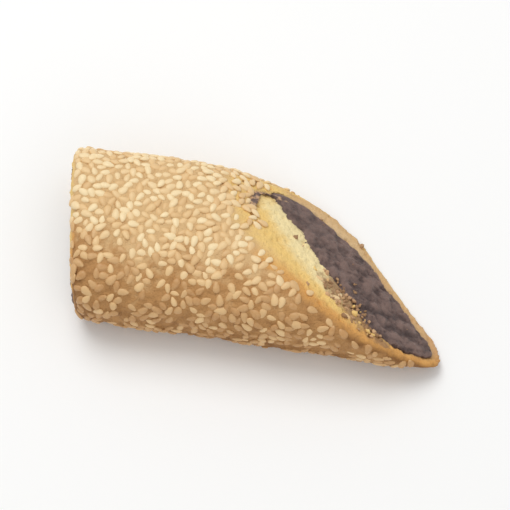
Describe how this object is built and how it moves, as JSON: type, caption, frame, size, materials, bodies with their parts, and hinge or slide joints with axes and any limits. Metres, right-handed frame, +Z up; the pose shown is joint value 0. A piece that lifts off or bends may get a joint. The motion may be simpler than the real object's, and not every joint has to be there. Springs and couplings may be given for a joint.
{
  "type": "date biscuit",
  "caption": "Slice of a sesame-coated dough roll with a band of date paste inside, one end cut nearly square and the other on the bias so that the layers show.",
  "frame": {"origin": "on the flat base, below the middle of the overall box", "axes": "+X along the roll, towards the end that is cut on the bias; +Y towards the side where the date paste curls up; +Z up"},
  "size_m": [0.0918, 0.0422, 0.0217],
  "materials": {
    "baked_dough": "baked golden crust with sesame, pale yellow and crumbly where it is cut",
    "date_paste": "dark, sticky and fibrous, with a soft shine"
  },
  "bodies": {
    "root": {"sesame_dough": "baked_dough", "date_filling": "date_paste"}
  },
  "joints": []
}
